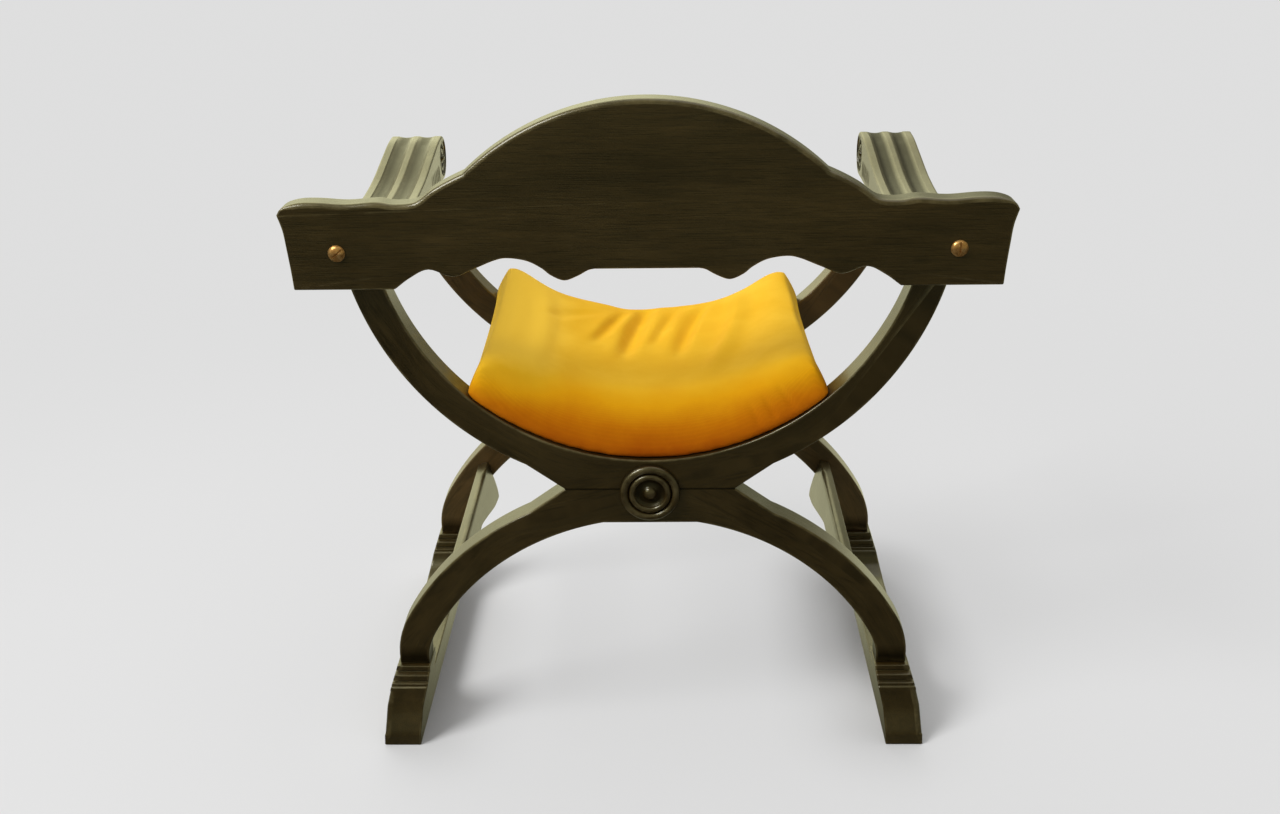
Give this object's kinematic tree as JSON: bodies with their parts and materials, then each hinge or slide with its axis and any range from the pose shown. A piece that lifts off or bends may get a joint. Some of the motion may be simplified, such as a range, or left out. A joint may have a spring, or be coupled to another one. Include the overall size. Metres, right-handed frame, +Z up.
{
  "type": "armchair",
  "caption": "Low X-frame armchair in dark stained wood, with fluted scrolled arms, a shaped back board, sledge feet, turned rosettes and a loose cushion in the curved seat.",
  "frame": {"origin": "on the floor, at the middle of the chair's width and depth", "axes": "+X to the right as seen from behind, +Y to the front of the seat, +Z up"},
  "size_m": [0.7662, 0.4494, 0.773],
  "materials": {
    "stained_wood": "very dark olive-brown stain, waxed",
    "plain_wood": "dark stain, unpolished",
    "dowel_wood": "bare",
    "brass": "aged, softly polished",
    "mustard_cloth": "closely woven mustard-yellow cloth",
    "wadding": "soft wadding"
  },
  "bodies": {
    "chair": {"back_board": "stained_wood", "left_arm": "stained_wood", "right_arm": "stained_wood", "rear_upper_arc": "stained_wood", "front_upper_arc": "stained_wood", "rear_lower_arc": "stained_wood", "front_lower_arc": "stained_wood", "rear_rosette": "stained_wood", "front_rosette": "stained_wood", "left_foot": "stained_wood", "right_foot": "stained_wood", "left_side_stretcher": "stained_wood", "right_side_stretcher": "stained_wood", "seat_slat_1": "plain_wood", "seat_slat_2": "plain_wood", "seat_slat_3": "plain_wood", "seat_slat_4": "plain_wood", "seat_slat_5": "plain_wood", "seat_slat_6": "plain_wood", "seat_slat_7": "plain_wood", "centre_stretcher": "plain_wood", "arm_dowels": "dowel_wood", "crossing_dowels": "dowel_wood", "back_board_screws": "brass"},
    "cushion": {"seat_cushion_cover": "mustard_cloth", "cushion_filling": "wadding"}
  },
  "joints": [
    {"name": "cushion_lift", "type": "slide", "parent": "chair", "child": "cushion", "axis": [0, 0, 1], "range_m": [0, 0.25]}
  ]
}
